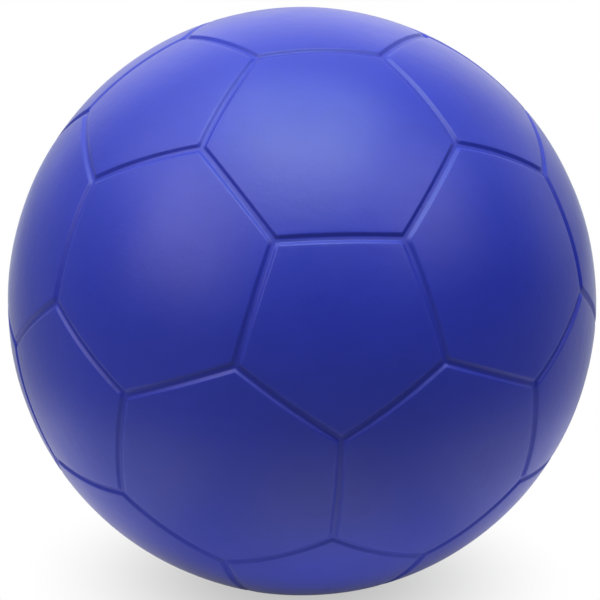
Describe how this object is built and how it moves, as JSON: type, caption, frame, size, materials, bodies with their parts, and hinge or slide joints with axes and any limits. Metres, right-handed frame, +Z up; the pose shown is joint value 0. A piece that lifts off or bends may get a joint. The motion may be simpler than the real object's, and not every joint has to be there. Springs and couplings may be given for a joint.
{
  "type": "foam ball",
  "caption": "Moulded foam football: a soft foam core in a tough satin skin, with the classic pattern of pentagons and hexagons moulded in as shallow channels.",
  "frame": {"origin": "centre of the ball", "axes": "+Z up through the middle of a hexagon, with the ball standing on the opposite hexagon; -Y through the lower half of the pentagon that faces the viewer; mirror plane X = 0"},
  "size_m": [0.1996, 0.2, 0.2],
  "materials": {
    "skin": "satin royal blue polyurethane skin",
    "foam": "undyed soft polyurethane foam with open cells"
  },
  "bodies": {
    "root": {"foam_core": "foam", "skin_upper": "skin", "skin_lower": "skin"}
  },
  "joints": []
}
